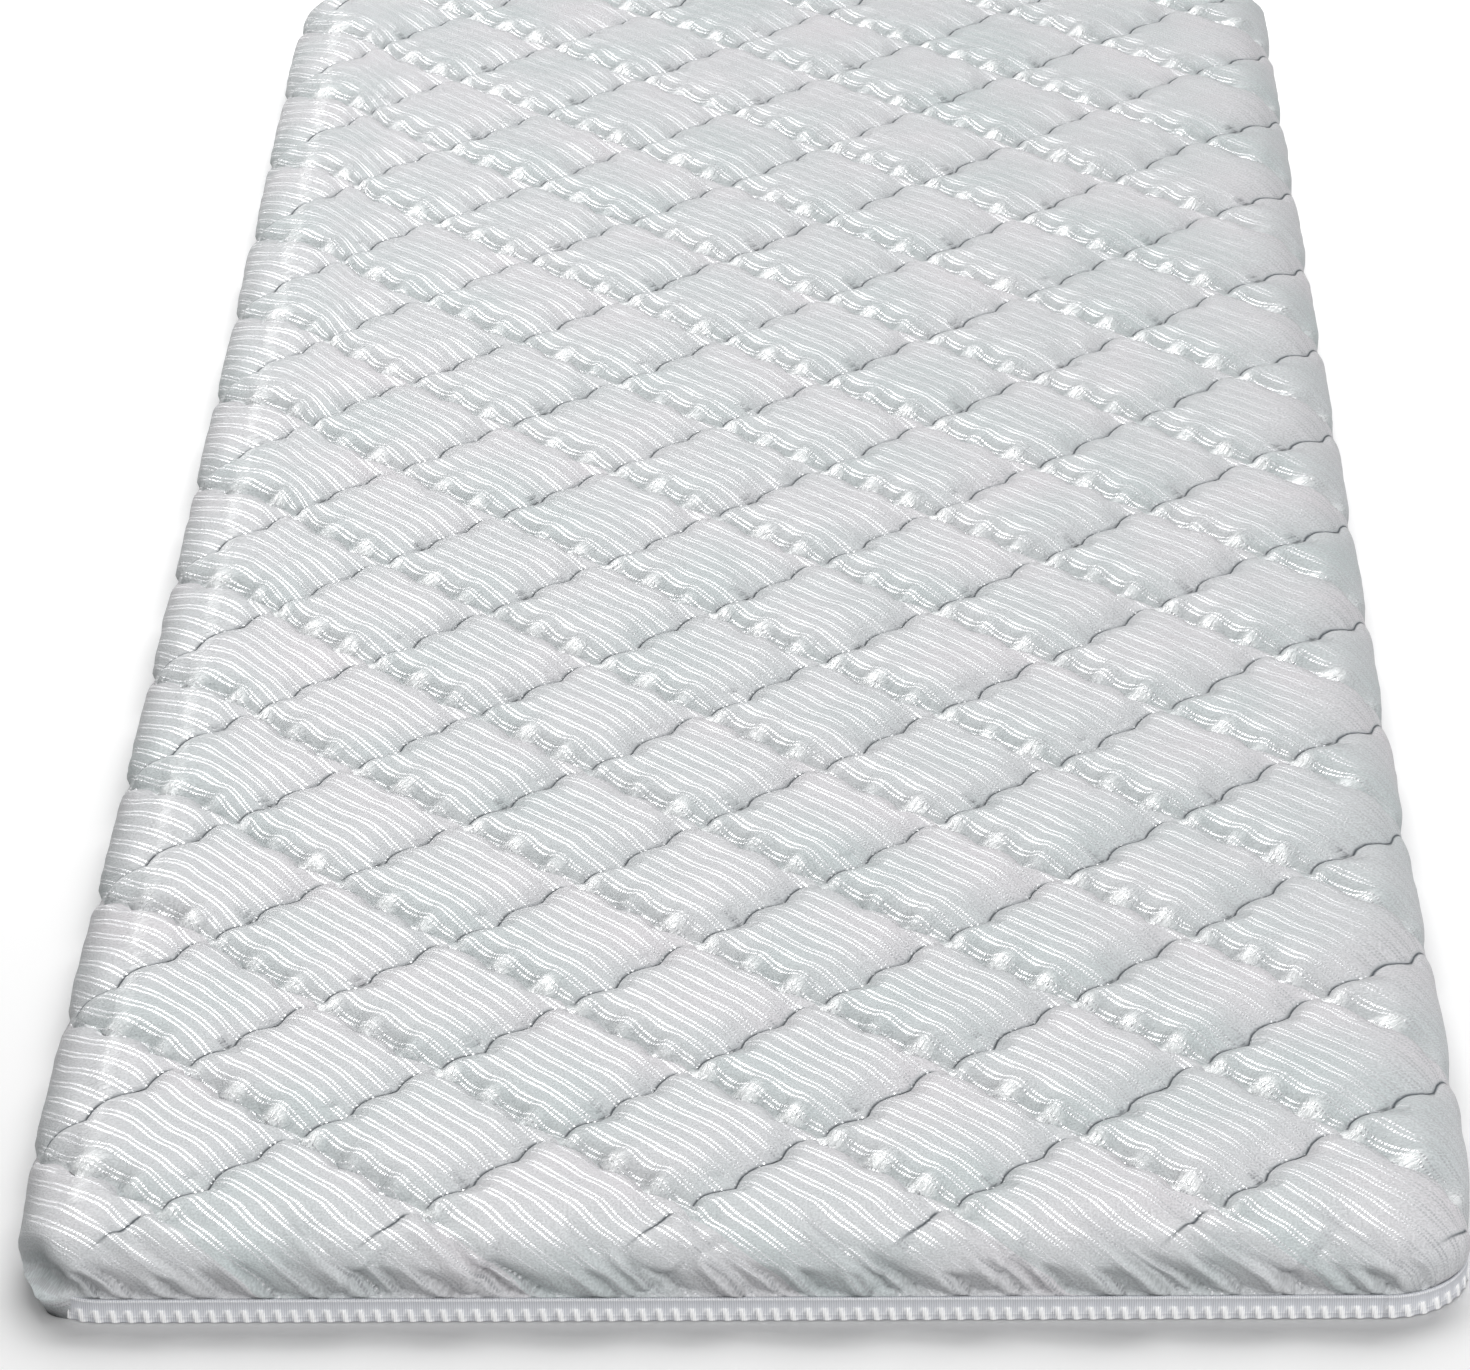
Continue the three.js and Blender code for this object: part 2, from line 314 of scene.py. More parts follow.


# Height over the stitch lines, in millimetres, how tightly the cloth is bunched and the painted
# shade of the hollows between the ridges. The four walls of a diamond are joined by the cube root
# of the sum of what each lacks, cubed. The one towards the foot comes forward in three ridges, where
# the scallops of its line meet. A low neck of cloth runs up through each junction.
def quilting(a, b):
    fracA, fracB = a - np.floor(a), b - np.floor(b)
    alongFront = (1 - fracB - quilt["valley"]["first"]) / quilt["valley"]["lobe"] + 0.5
    ridge = np.abs(np.sin(np.pi * alongFront)) ** quilt["ridgePower"]
    otherDiamond = a + 7 * np.floor(alongFront)    # so that each ridge has a number of its own
    stout = between(*quilt["ridgeRange"], perDiamond("ridge", otherDiamond, b))
    onRidge = ridge * between(*quilt["frontRange"], perDiamond("front", a, b))
    inFrom = fracA * diamondSide
    walls = [
        wall(fracB * diamondSide, quilt["steepReach"]),
        wall((1 - fracB) * diamondSide, quilt["gentleReach"]),
        wall(inFrom, between(*quilt["frontReach"], onRidge)),
        wall((1 - fracA) * diamondSide, quilt["backReach"]),
    ]
    low = sum((1 - share) ** 3 for share in walls)
    rise = quilt["rise"] * between(*quilt["riseRange"], perDiamond("rise", a, b))
    height = rise * np.clip(1 - low ** (1 / 3), 0, 1)
    nearFront = bump(inFrom, quilt["ridgePlace"], quilt["ridgeWidth"])
    nearFront = nearFront * np.minimum(inFrom / quilt["ridgeStart"], 1)
    height += quilt["ridgeRise"] * stout * (ridge - quilt["ridgeSink"]) * nearFront
    bunchingAndHighlight = bump(inFrom, 0, quilt["bunchReach"]) * between(*quilt["bunchRange"], stout * ridge)

    stepA, stepB = a - np.round(a), b - np.round(b)
    acrossNeck = (stepA + stepB) * quilt["half"]
    alongNeck = (stepA - stepB) * quilt["half"]
    neck = bump(acrossNeck, 0, quilt["neckWidth"]) * bump(alongNeck, 0, quilt["neckLength"])
    paintedShade = (1 - ridge) * bump(inFrom, quilt["hollowPlace"], quilt["hollowWidth"])
    return height + quilt["neckRise"] * neck, bunchingAndHighlight, paintedShade


# Folds in the ends, where the cover is drawn down to the tape: close ones at the tape, and broad
# ones that come down from the quilting. Sizes in millimetres. Two numbers are a range.
gathers = [
    {
        "start": 0,           # where the first fold of the row begins
        "each": 26,           # of the end to one fold, on average
        "scatter": 0.7,
        "depth": (4, 8),
        "steep": (2, 3.2),    # width of a fold's steep left side
        "broad": (8, 14),     # and of its broad right side
        "length": (18, 44),
        "lean": (0.4, 1.0),   # sideways for each one down the cloth
        "sweep": 12,          # how far the foot of a fold sweeps along the tape
        "sweepHeight": 9,
        "shade": 1.5,         # how dark the painted shade at its bottom is
    },
    {
        "start": 75.3 + 52,   # the first junction of the stitch lines, and what a fold leans from it
        "each": 75,
        "scatter": 0.2,
        "depth": (4, 7.5),
        "steep": (2.5, 4.5),
        "broad": (12, 24),
        "length": (60, 85),
        "lean": (0.6, 1.2),
        "sweep": 6,
        "sweepHeight": 12,
        "shade": 0.7,
    },
    {
        "start": 30,
        "each": 110,
        "scatter": 0.8,
        "depth": (1.8, 3.2),
        "steep": (2, 3.5),
        "broad": (7, 13),
        "length": (40, 65),
        "lean": (-1.0, -0.3),
        "sweep": 0,
        "sweepHeight": 9,
        "shade": 0.3,
    },
]

# What every fold has: the swell to its left and the painted shade at its bottom.
fold = {
    "drawn": ("depth", "steep", "broad", "length", "lean"),    # at random, in this order
    "upper": 0.5,             # share of its length over which it deepens
    "swell": 0.4,             # of the depth
    "swellPlace": 2.6,        # to the left of the bottom, in widths of the steep side
    "swellWidth": 1.8,        # in the same widths
    "shadeWidth": 2.2,        # millimetres
    "shadeDepth": 6,          # millimetres: a shallower fold is shaded less
    "seeds": {-1: 17, 1: 29},    # at the foot end and at the head end
}


# Folds where the cover is drawn down over an end. Each is a valley that leans as it runs down and
# then sweeps along the seam: -depth exp(-distance / width), narrow on its steep left side and
# wide on its right, with a swell to its left. Every fold has its own place, size and lean. Gives
# the lift and the painted shade at the bottom of each valley.
def gathering(clothX, clothY, end):
    fromSeam = np.abs(clothY) - innerLength - rimArc - pad["curl"]
    lift, paintedFoldShade = np.zeros_like(clothX), np.zeros_like(clothX)
    random = np.random.default_rng(fold["seeds"][end])
    for kind in gathers:
        places = np.arange(kind["start"], 2 * pad["halfWidth"] + kind["each"], kind["each"])
        scatter = kind["scatter"] * kind["each"] * (random.random(len(places)) - 0.5)
        for place in places - pad["halfWidth"] + scatter:
            depth, steep, broad, length, lean = (
                between(*kind[name], random.random()) for name in fold["drawn"])
            swept = kind["sweep"] * (1 - np.exp(fromSeam / kind["sweepHeight"]))
            away = clothX - place - lean * fromSeam + swept
            along = smoothStep(fromSeam, -length, -fold["upper"] * length)
            valley = np.exp(-np.maximum(away, 0) / broad + np.minimum(away, 0) / steep)
            swell = bump(away, -fold["swellPlace"] * steep, fold["swellWidth"] * steep)
            lift += depth * along * (fold["swell"] * swell - valley)
            shade = kind["shade"] * min(1, depth / fold["shadeDepth"])
            paintedFoldShade = np.maximum(paintedFoldShade, shade * along * bump(away, 0, fold["shadeWidth"]))
    return lift, paintedFoldShade


# How far a place moves to the right, because the left side runs in towards the head.
def runIn(x, y):
    fromFoot = np.clip(0.5 + y / (2 * pad["halfLength"]), 0, 1)
    atSide = smoothStep(-x, innerWidth - pad["drawInWidth"], innerWidth)
    return pad["leftDrawIn"] * (1 - (1 - fromFoot) ** 2) * atSide


# How near a place is to a spot: exp(-(distance / reach)^2).
def nearness(x, y, z, spot):
    distance = (x - spot["x"]) ** 2 + (y - spot["y"]) ** 2 + (z - spot["z"]) ** 2
    return np.exp(-distance / spot["reach"] ** 2)


# How far the long sides swell to the right: each by its own bump near the foot, and the left one
# out along its whole length. The swell dies out before the corners and under the reach.
def swelling(y, placeX, squareX, curl):
    swell = pad["swell"]
    onSide = squareX ** 2 * (1 - smoothStep(np.abs(y), *pad["swellFade"])) * (1 - smoothStep(curl, 0, 1))
    nearFoot = bump(y, swell["place"], swell["reach"])
    nearFoot = np.where(placeX < 0, -swell["left"], swell["right"]) * nearFoot
    return onSide * (nearFoot - pad["leftSwell"] * (placeX < 0))


# The front left corner: the tucks push it in and the flap pulls it out and down, each by its depth
# times its nearness. Gives the new places and their painted shade, which is painted light, below 0,
# on the flap.
def tuckCorner(x, y, z, curl):
    shade = np.zeros_like(x)
    for tuck in pad["tucks"]:
        near = nearness(x, y, z, tuck)
        inwards = near * tuck["depth"] * np.sqrt(0.5)
        x, y = x + inwards, y + inwards
        shade = np.maximum(shade, tuck["shade"] * near * smoothStep(z, *pad["tuckShadeStart"]))
    flap = pad["flap"]
    near = nearness(x, y, z, flap) * smoothStep(curl, 0, pad["flapStart"])
    outwards = near * flap["out"] * np.sqrt(0.5)
    return x - outwards, y - outwards, z - near * flap["drop"], shade + flap["shade"] * near


# The pad's outside. Distances over the cloth become a place: the top is flat between the rims, x =
# R sin(turn) and z = drop cos(turn)^fullness round them, then a quarter ellipse runs under to the
# seam. The quilting, its lumps, the gathers and a crown of (1 - x^2)(1 - y^8) lift it along its own
# direction. With the places come three shares: a painted highlight where the cloth is bunched or
# bends over the left side, where a stitch line is sewn, and painted shade in the hollows, the fold
# valleys and the corner's hollow, with more of it down the left side, and painted light on the
# corner's fold.
def coverSurface(p, q):
    p, q, a, b = bendGrid(p, q)
    placeX, placeY, squareX, squareY, discX, discY, curl = rounded(p, q)
    clothX, clothY = clothOf(p, q)
    roundness = np.hypot(discX, discY)
    safe = np.maximum(roundness, 1e-9)    # no division by nothing on the flat top
    outX, outY = discX / safe, discY / safe
    turn = np.minimum(roundness, 1) * np.pi / 2
    under = curl * np.pi / 2

    endShare = smoothStep(squareY, 0, pad["endStart"])
    drop = (rimDrop + pad["endFill"] * endShare) * np.maximum(np.cos(turn), 0) ** pad["fullness"]
    out = pad["corner"] * np.sin(turn) - pad["seamInset"] * (1 - np.cos(under))
    level = pad["reachHeight"] + drop - (pad["reachHeight"] - pad["seamHeight"]) * np.sin(under)

    domeX = 1 - (placeX / innerWidth) ** 2
    domeY = 1 - (placeY / innerLength) ** pad["crownPower"]
    onTop = 1 - (1 - quilt["sideRise"]) * np.sin(turn) ** 2
    quiltShare = onTop * (1 - endShare) * (1 - smoothStep(curl, 0, 1))
    ends = (1 - squareX) * (1 - smoothStep(curl, 0.5, 1)) * (squareY > 0)
    footFolds, headFolds = gathering(clothX, clothY, -1), gathering(clothX, clothY, 1)
    gathered, paintedFoldShade = np.where(q < 0, footFolds, headFolds) * ends
    quilted, bunchingAndHighlight, paintedShade = quilting(a, b)
    lumpX, lumpY = clothX / quilt["lumpSize"], clothY / quilt["lumpSize"]
    lumps = smoothNoise("lump", lumpX + lumpY, lumpX - lumpY)
    acrossLump, alongLump = quilt["smallLumpPlaces"]
    lumps += quilt["smallLumps"] * smoothNoise("smallLump", acrossLump * lumpX, alongLump * lumpY)
    lift = quilted * quiltShare - pad["rimDip"] * np.sin(turn) ** 2 * (1 - endShare) * (1 - curl)
    lift += quilt["lumps"] * lumps * (1 - curl)
    lift += pad["crown"] * domeX * domeY + gathered

    x = placeX + outX * (out + lift * np.sin(turn))
    y = placeY + outY * (out + lift * np.sin(turn)) + pad["bow"] * (placeX / innerWidth) ** 2 * domeY
    z = level + lift * np.cos(turn)
    x += runIn(x, y)
    x += swelling(y, placeX, squareX, curl)
    x, y, z, shade = tuckCorner(x, y, z, curl)

    onLeft = placeX < 0
    sewn = smoothStep(np.abs(a - np.round(a)), *quilt["sewnFrom"])
    sewn *= (1 - smoothStep(squareY, *quilt["sewnEnd"])) * (1 - smoothStep(squareX, *quilt["sewnSide"]))
    # painted shade of the hollows, the fold valleys and the corner's tucks, painted light on its fold, and
    # more painted shade down the left side
    paintedShade = np.maximum(paintedShade * quiltShare, paintedFoldShade * ends) + shade
    onSide = smoothStep(squareX, *pad["sideShadeRim"]) * (1 - smoothStep(curl, 0, 0.3))
    paintedShade = np.clip(paintedShade + pad["sideShade"] * onSide * onLeft, *pad["shades"])
    # painted highlight along the left shoulder, and on bunched cloth
    shoulderHighlight = bump(squareX, pad["shoulderRim"], pad["shoulderWidth"]) * onLeft * (squareY == 0)
    whitened = np.maximum(bunchingAndHighlight * quiltShare, pad["shoulderHighlight"] * shoulderHighlight)
    shares = np.stack([whitened, sewn, paintedShade], -1)
    return np.stack([x, y, z], -1), np.stack([a, b], -1), np.stack([clothX, clothY], -1), shares


# Grid lines over the cloth in one direction: a whole share of the lattice apart, from seam to seam.
def clothLines(inner, start):
    spacing = quilt["half"] / grid["cells"]
    edge = inner + rimArc + pad["curl"]
    first = np.ceil((-edge - start) / spacing + 0.5)
    last = np.floor((edge - start) / spacing - 0.5)
    return np.concatenate([[-edge], start + np.arange(first, last + 1) * spacing, [edge]])


# The lines with one more halfway between each two.
def halved(lines):
    out = np.empty(2 * len(lines) - 1)
    out[::2] = lines
    out[1::2] = (lines[1:] + lines[:-1]) / 2
    return out


# The four corners of each cell of a grid of point numbers, anticlockwise from the first.
def cellCorners(index):
    return (part.ravel() for part in (index[:-1, :-1], index[:-1, 1:], index[1:, 1:], index[1:, :-1]))


# Two triangles for each cell of a grid of point numbers. Where falls is true the cell is split from
# its upper left to its lower right corner.
def splitCells(index, falls):
    a, b, c, d = cellCorners(index)
    rising = np.stack([a, b, c, a, c, d], 1)
    falling = np.stack([a, b, d, b, c, d], 1)
    return np.where(falls.reshape(-1, 1), falling, rising).reshape(-1, 3)


# A cell that a stitch line crosses is split along it, and the others along the diagonal that stands
# higher. A point is on a stitch line when a lattice coordinate is within a thousandth of whole.
def cellSplits(points, lattice):
    onA, onB = np.moveaxis(np.abs(lattice - np.round(lattice)) < 1e-3, -1, 0)
    risingStitch = onB[:-1, :-1] & onB[1:, 1:]
    fallingStitch = onA[:-1, 1:] & onA[1:, :-1]
    z = points[..., 2]
    higher = z[:-1, 1:] + z[1:, :-1] > z[:-1, :-1] + z[1:, 1:]
    return np.where(risingStitch, False, fallingStitch | higher)


# Triangles between a row of points and the row above it that has twice as many.
def joinRows(coarse, fine):
    left, right = coarse[:-1], coarse[1:]
    first, middle, last = fine[:-1:2], fine[1::2], fine[2::2]
    return np.stack([left, middle, first, left, right, middle, right, last, middle], 1).reshape(-1, 3)


# A mesh from whole arrays, smooth, with one UV map for each entry of uvs and one number to a point
# for each entry of shares.
def makeMesh(name, points, faces, uvs, shares):
    mesh = bpy.data.meshes.new(name)
    mesh.from_pydata(points.tolist(), [], faces.tolist())
    mesh.polygons.foreach_set("use_smooth", np.ones(len(faces), bool))
    corners = np.empty(len(mesh.loops), int)
    mesh.loops.foreach_get("vertex_index", corners)
    for uvName, values in uvs.items():
        layer = mesh.uv_layers.new(name=uvName)
        layer.data.foreach_set("uv", values[corners].astype(np.float32).ravel())
    mesh.update()
    for shareName, values in shares.items():
        layer = mesh.attributes.new(shareName, "FLOAT", "POINT")
        layer.data.foreach_set("value", values.astype(np.float32).ravel())
    piece = bpy.data.objects.new(name, mesh)
    bpy.context.scene.collection.objects.link(piece)
    return piece


# The grid over the whole top, finer ones with twice and four times the columns round each end, and
# a wall from the seam down to the flat underside, which is a fan about its middle.
def makeCover():
    p = clothLines(innerWidth, -quilt["column"] * quilt["half"])
    q = clothLines(innerLength, -pad["halfLength"] - quilt["row"] * quilt["half"])
    edge = q[-1]
    main = q[np.abs(q) < innerLength + grid["pastTop"]]
    finer, finest = halved(p), halved(halved(p))
    endCloth, endLines, joinLines = grid["endCloth"], grid["endLines"], grid["joinLines"]
    parts = [
        (finest, np.linspace(-edge, endCloth - edge, endLines)),
        (finer, np.linspace(endCloth - edge, main[0], joinLines)[1:-1]),
        (p, main),
        (finer, np.linspace(main[-1], edge - endCloth, joinLines)[1:-1]),
        (finest, np.linspace(edge - endCloth, edge, endLines)),
    ]
    surfaces = [coverSurface(*np.meshgrid(columns, lines)) for columns, lines in parts]
    points, lattice, cloth, shares = (
        [values.reshape(-1, values.shape[-1]) for values in kind] for kind in zip(*surfaces))
    indices, faces, count = [], [], 0
    for places, laid, _, _ in surfaces:
        index = count + np.arange(places[..., 0].size).reshape(places.shape[:2])
        faces.append(splitCells(index, cellSplits(places, laid)))
        indices.append(index)
        count += index.size
    for below, above in zip(indices[:-1], indices[1:]):
        if below.shape[1] > above.shape[1]:
            faces.append(joinRows(above[0], below[-1])[:, ::-1])
        else:
            faces.append(joinRows(below[-1], above[0]))

    right = np.concatenate([index[:, -1] for index in indices])
    left = np.concatenate([index[:, 0] for index in indices])
    border = np.concatenate([indices[0][0, :-1], right[:-1], indices[-1][-1, :0:-1], left[:0:-1]])
    shell = np.concatenate(points)
    turned = pad["turned"]
    nearTurned = nearness(*shell[border].T, turned)
    floorRing = shell[border] * (1, 1, 0)
    floorRing[:, :2] += (nearTurned * turned["depth"])[:, None]
    around = np.arange(len(border))
    after = (around + 1) % len(border)
    low, lowNext, centre = count + around, count + after, np.full(len(border), count + len(border))
    faces.append(np.stack([border[around], low, lowNext], 1))
    faces.append(np.stack([border[around], lowNext, border[after]], 1))
    faces.append(np.stack([low, centre, lowNext], 1))

    extra = np.concatenate([floorRing, [[0, 0, 0]]])
    allFaces = np.concatenate(faces)
    uvs = {
        "cloth": np.concatenate(cloth + [extra[:, :2]]) / 1000,
        "lattice": np.concatenate(lattice + [np.full((len(extra), 2), 0.5)]),
    }
    # painted shade on the wall under the turned corner
    below = np.zeros((len(extra), 3))
    below[:-1, 2] = np.minimum(turned["shade"] * nearTurned, pad["shades"][1])
    shares = dict(zip(("bunchingAndHighlight", "sewn", "paintedShade"), np.concatenate(shares + [below]).T))
    print("cover:", len(allFaces), "triangles")
    return makeMesh("quilted_cover", np.concatenate([shell, extra]) / 1000, allFaces, uvs, shares)


# Sizes in millimetres.
damask = {
    # the ground is greener and darker towards a diamond's foot, the darkness a painted shade of the wall
    # there, and more lilac towards its head
    "ground": "#b8bfc0",
    "shade": "#cac8cb",       # of the ground towards the head of a diamond
    "tuftHighlight": "#dadcdc",        # painted highlight of the cloth bunched at the stitches
    "stripe": "#94969a",      # of the satin itself, dull where it throws no light back
    # painted shade in the crease of a stitch line
    "crease": "#565b5f",
    "shadow": "#a6aaad",      # painted shadow on the cloth that falls to a crease
    "headTone": 0.7,          # share of the shade's colour that the head side of a diamond has
    "patchTone": (-0.3, 0.5), # what the patches take from it and add to it
    "hollowTone": 0.18,       # how much darker a painted shade of 1 is
    "groundRoughness": 0.6,
    "stripeRoughness": 0.38,
    "ior": 2.0,               # a polyester's 1.6, raised to the bright gloss of satin
    "groundShine": 0.09,      # of the satin's
    "tuftShine": 0.8,
    "stripePitch": 12.3,      # from one pair of lines to the next
    "stripeTurn": 45,         # degrees
    "lines": (0.35, 0.63),    # the middles of a pair's two lines, as shares of the pitch
    "lineHalf": (0.04, 0.07),    # half a line's width, where it is full and where it ends
    "dotPitch": 2.0,          # a little coarser than the real stitches, so that the dots show
    "dotRange": (0.2, 0.65),  # of the wave, from a gap to a dot
    "dotGap": 0.05,           # how much of the line is left between two dots
    "straysPerMetre": 22,     # the stripes stray from straight every 45 mm
    "strayBy": 6,             # from one side to the other, at most
    "patchesPerMetre": 9,     # patches of the two ground colours, 110 mm each
    "grainsPerMetre": 700,    # 1.4 mm each, coarser than the real knit, which is too fine to show
    "grainTone": (0.86, 1.1),
    "grainDepth": 0.8,
    "grainStrength": (0.5, 0.1),    # on the ground and on the stripes, which are smooth
    "wrinkles": (13, 46),     # to a diamond's side, along and across them: 8.2 and 2.3 mm each
    "wrinkleDepth": 3.0,
    "lineDepth": 0.3,
    "lineStrength": 0.3,
    "bunchedRange": (0.25, 0.85),    # over which bunched cloth takes the tuft's painted highlight
    "tuftMost": 0.65,
    "creaseWidth": 0.018,     # share of a diamond's side
    "shadowWidth": 0.04,
    "shadowMost": 0.8,
}


# Satin stripes at 45 degrees that stray a little from straight: two lines to each pitch, a ramp
# over a saw wave, cut into dots by a sine wave along them. Gives the lines and the dotted lines.
def satinStripes(tree, cloth):
    noise = addNode(tree, "ShaderNodeTexNoise", {
        "Vector": cloth, "Scale": damask["straysPerMetre"], "Detail": 1.0,
    }).outputs["Color"]
    centred = addNode(tree, "ShaderNodeVectorMath", {
        0: noise, 1: (0.5, 0.5, 0.5),
    }, operation="SUBTRACT").outputs[0]
    strayed = addNode(tree, "ShaderNodeVectorMath", {
        0: centred, "Scale": damask["strayBy"] / 1000,
    }, operation="SCALE").outputs[0]
    uneven = addNode(tree, "ShaderNodeVectorMath", {0: cloth, 1: strayed}, operation="ADD").outputs[0]
    turned = addNode(tree, "ShaderNodeMapping", {
        "Vector": uneven, "Rotation": (0, 0, np.radians(-damask["stripeTurn"])),
    }).outputs[0]
    saw = addNode(tree, "ShaderNodeTexWave", {
        "Vector": turned, "Scale": waveScale(damask["stripePitch"]), "Distortion": 0.0,
    }, wave_type="BANDS", bands_direction="X", wave_profile="SAW").outputs["Fac"]

    pair = addNode(tree, "ShaderNodeValToRGB", {"Fac": saw})
    full, end = damask["lineHalf"]
    shape = ((-end, 0), (-full, 1), (full, 1), (end, 0))
    spots = [(0, 0)] + [(middle + step, value) for middle in damask["lines"] for step, value in shape]
    for _ in range(len(spots) - 2):
        pair.color_ramp.elements.new(0.5)
    for element, (place, value) in zip(pair.color_ramp.elements, spots):
        element.position = place
        element.color = (value, value, value, 1)
    lines = pair.outputs["Color"]

    sine = addNode(tree, "ShaderNodeTexWave", {
        "Vector": turned, "Scale": waveScale(damask["dotPitch"]), "Distortion": 0.0,
    }, wave_type="BANDS", bands_direction="Y", wave_profile="SIN").outputs["Fac"]
    gap, dot = damask["dotRange"]
    dots = addNode(tree, "ShaderNodeMapRange", {
        "Value": sine, "From Min": gap, "From Max": dot, "To Min": damask["dotGap"],
    }).outputs[0]
    dotted = addNode(tree, "ShaderNodeMath", {0: lines, 1: dots}, operation="MULTIPLY").outputs[0]
    return lines, dotted


# The knitted ground between the stripes: greener and darker on the side of a diamond towards the
# foot, where the darkness is painted shade, more lilac towards the head, in soft patches, and darker
# and lighter by the grain of the knit. A noise texture's values lie mostly between 0.3 and 0.7, so
# those become a range's two ends.
def knittedGround(tree, cloth, lattice, grain):
    fromFront = addNode(tree, "ShaderNodeSeparateXYZ", {"Vector": lattice}).outputs["X"]
    inDiamond = addNode(tree, "ShaderNodeMath", {0: fromFront}, operation="FRACT").outputs[0]
    noise = addNode(tree, "ShaderNodeTexNoise", {
        "Vector": cloth, "Scale": damask["patchesPerMetre"], "Detail": 2.0,
    }).outputs[0]
    leastTone, mostTone = damask["patchTone"]
    patch = addNode(tree, "ShaderNodeMapRange", {
        "Value": noise, "From Min": 0.3, "From Max": 0.7, "To Min": leastTone, "To Max": mostTone,
    }).outputs[0]
    tone = addNode(tree, "ShaderNodeMath", {
        0: inDiamond, 1: damask["headTone"], 2: patch,
    }, operation="MULTIPLY_ADD", use_clamp=True).outputs[0]
    plain = addNode(tree, "ShaderNodeMix", {
        "Factor": tone, "A": hexColour(damask["ground"]), "B": hexColour(damask["shade"]),
    }, data_type="RGBA").outputs["Result"]
    darkGrain, lightGrain = damask["grainTone"]
    knit = addNode(tree, "ShaderNodeMapRange", {
        "Value": grain, "From Min": 0.35, "From Max": 0.65, "To Min": darkGrain, "To Max": lightGrain,
    }).outputs[0]
    return addNode(tree, "ShaderNodeVectorMath", {0: plain, "Scale": knit}, operation="SCALE").outputs[0]


# The stitch lines that rise to the right, from the lattice's second coordinate: painted shade in a
# sharp crease on each whole number, and a painted shadow on the cloth that falls to it. Gives the
# shadow and the crease's shade.
def paintCreases(tree, lattice, sewn):
    place = addNode(tree, "ShaderNodeSeparateXYZ", {"Vector": lattice}).outputs["Y"]
    away = addNode(tree, "ShaderNodeMath", {0: place, 1: 0.5}, operation="PINGPONG").outputs[0]
    above = addNode(tree, "ShaderNodeMath", {0: place}, operation="FRACT").outputs[0]
    crease = addNode(tree, "ShaderNodeMapRange", {
        "Value": away, "From Min": 0.0, "From Max": damask["creaseWidth"], "To Max": 0.0, "To Min": 1.0,
    }, interpolation_type="SMOOTHSTEP").outputs[0]
    fall = addNode(tree, "ShaderNodeMapRange", {
        "Value": above, "From Min": 1 - damask["shadowWidth"], "From Max": 1.0,
        "To Max": damask["shadowMost"],
    }, interpolation_type="SMOOTHSTEP").outputs[0]
    shadow = addNode(tree, "ShaderNodeMath", {0: fall, 1: sewn}, operation="MULTIPLY").outputs[0]
    creaseShade = addNode(tree, "ShaderNodeMath", {0: crease, 1: sewn}, operation="MULTIPLY").outputs[0]
    return shadow, creaseShade


# The cloth's fine relief: the grain of the knit, less on the stripes, then wrinkles that run away
# from the stitches where the cloth is bunched, then the raised stripes.
def clothRelief(tree, lattice, grain, bunchingAndHighlight, lines, dotted):
    onGround, onStripe = damask["grainStrength"]
    strength = addNode(tree, "ShaderNodeMapRange", {
        "Value": lines, "To Min": onGround, "To Max": onStripe,
    }).outputs[0]
    knitted = addNode(tree, "ShaderNodeBump", {
        "Height": grain, "Strength": strength, "Distance": damask["grainDepth"] / 1000,
    }).outputs[0]
    across = addNode(tree, "ShaderNodeMapping", {
        "Vector": lattice, "Scale": (*damask["wrinkles"], 1.0),
    }).outputs[0]
    wrinkles = addNode(tree, "ShaderNodeTexNoise", {
        "Vector": across, "Scale": 1.0, "Detail": 2.0, "Distortion": 0.8,
    }).outputs[0]
    bunching = addNode(tree, "ShaderNodeMath", {0: wrinkles, 1: bunchingAndHighlight}, operation="MULTIPLY").outputs[0]
    wrinkled = addNode(tree, "ShaderNodeBump", {
        "Height": bunching, "Strength": 1.0, "Distance": damask["wrinkleDepth"] / 1000, "Normal": knitted,
    }).outputs[0]
    return addNode(tree, "ShaderNodeBump", {
        "Height": dotted, "Strength": damask["lineStrength"], "Distance": damask["lineDepth"] / 1000,
        "Normal": wrinkled,
    }).outputs[0]
